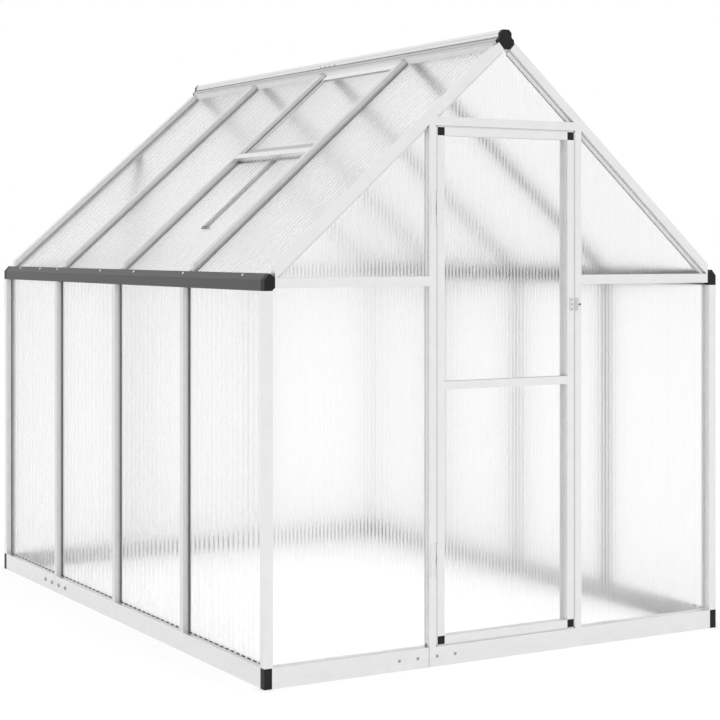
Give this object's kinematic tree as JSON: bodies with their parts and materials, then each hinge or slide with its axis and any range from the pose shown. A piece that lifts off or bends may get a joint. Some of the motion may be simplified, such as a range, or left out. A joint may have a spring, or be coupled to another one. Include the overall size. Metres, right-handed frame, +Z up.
{
  "type": "walk-in greenhouse",
  "caption": "Walk-in gabled greenhouse: aluminium glazing bars on a base frame, ribbed twin-wall sheets, dark gutters, an outward-hinged door and a closed roof vent.",
  "frame": {"origin": "on the ground, at the middle of the base", "axes": "+Z up, +Y along the ridge away from the door, +X across the gable to the door's latch side"},
  "size_m": [1.69, 2.285, 1.948],
  "materials": {
    "bare_aluminium": "satin mill-finish extrusion",
    "gutter_metal": "dark grey satin coating",
    "black_plastic": "moulded matt black",
    "twin_wall_sheet": "clear ribbed twin-wall polycarbonate"
  },
  "bodies": {
    "frame": {"front_base_rail": "bare_aluminium", "back_base_rail": "bare_aluminium", "left_base_rail": "bare_aluminium", "right_base_rail": "bare_aluminium", "base_splice_plates": "bare_aluminium", "base_corner_caps": "black_plastic", "corner_posts": "bare_aluminium", "left_studs": "bare_aluminium", "right_studs": "bare_aluminium", "left_gutter": "gutter_metal", "right_gutter": "gutter_metal", "gutter_end_caps": "black_plastic", "ridge_beam": "bare_aluminium", "ridge_end_caps": "black_plastic", "front_gable_rafters": "bare_aluminium", "back_gable_rafters": "bare_aluminium", "left_rafters": "bare_aluminium", "right_rafters": "bare_aluminium", "front_tie_rails": "bare_aluminium", "back_tie_rails": "bare_aluminium", "door_jambs": "bare_aluminium", "door_header": "bare_aluminium", "back_gable_studs": "bare_aluminium", "left_wall_sheets": "twin_wall_sheet", "right_wall_sheets": "twin_wall_sheet", "left_roof_sheets": "twin_wall_sheet", "right_roof_sheets": "twin_wall_sheet", "front_lower_sheets": "twin_wall_sheet", "front_gable_sheets": "twin_wall_sheet", "back_lower_sheets": "twin_wall_sheet", "back_gable_sheets": "twin_wall_sheet", "vent_stiles": "bare_aluminium", "vent_rails": "bare_aluminium", "vent_sheet": "twin_wall_sheet", "vent_lintel": "bare_aluminium", "vent_stay": "bare_aluminium", "jamb_hinge_leaves": "bare_aluminium", "hinge_pins": "bare_aluminium", "latch_keeper": "bare_aluminium"},
    "door": {"door_stiles": "bare_aluminium", "door_rails": "bare_aluminium", "door_mid_rail": "bare_aluminium", "door_corner_caps": "black_plastic", "door_sheets": "twin_wall_sheet", "door_hinge_leaves": "bare_aluminium", "door_latch": "bare_aluminium"}
  },
  "joints": [
    {"name": "door_swing", "type": "hinge", "parent": "frame", "child": "door", "pos_m": [-0.2585, -1.139, 0.85], "axis": [0, 0, -1], "range_deg": [0, 110]}
  ]
}
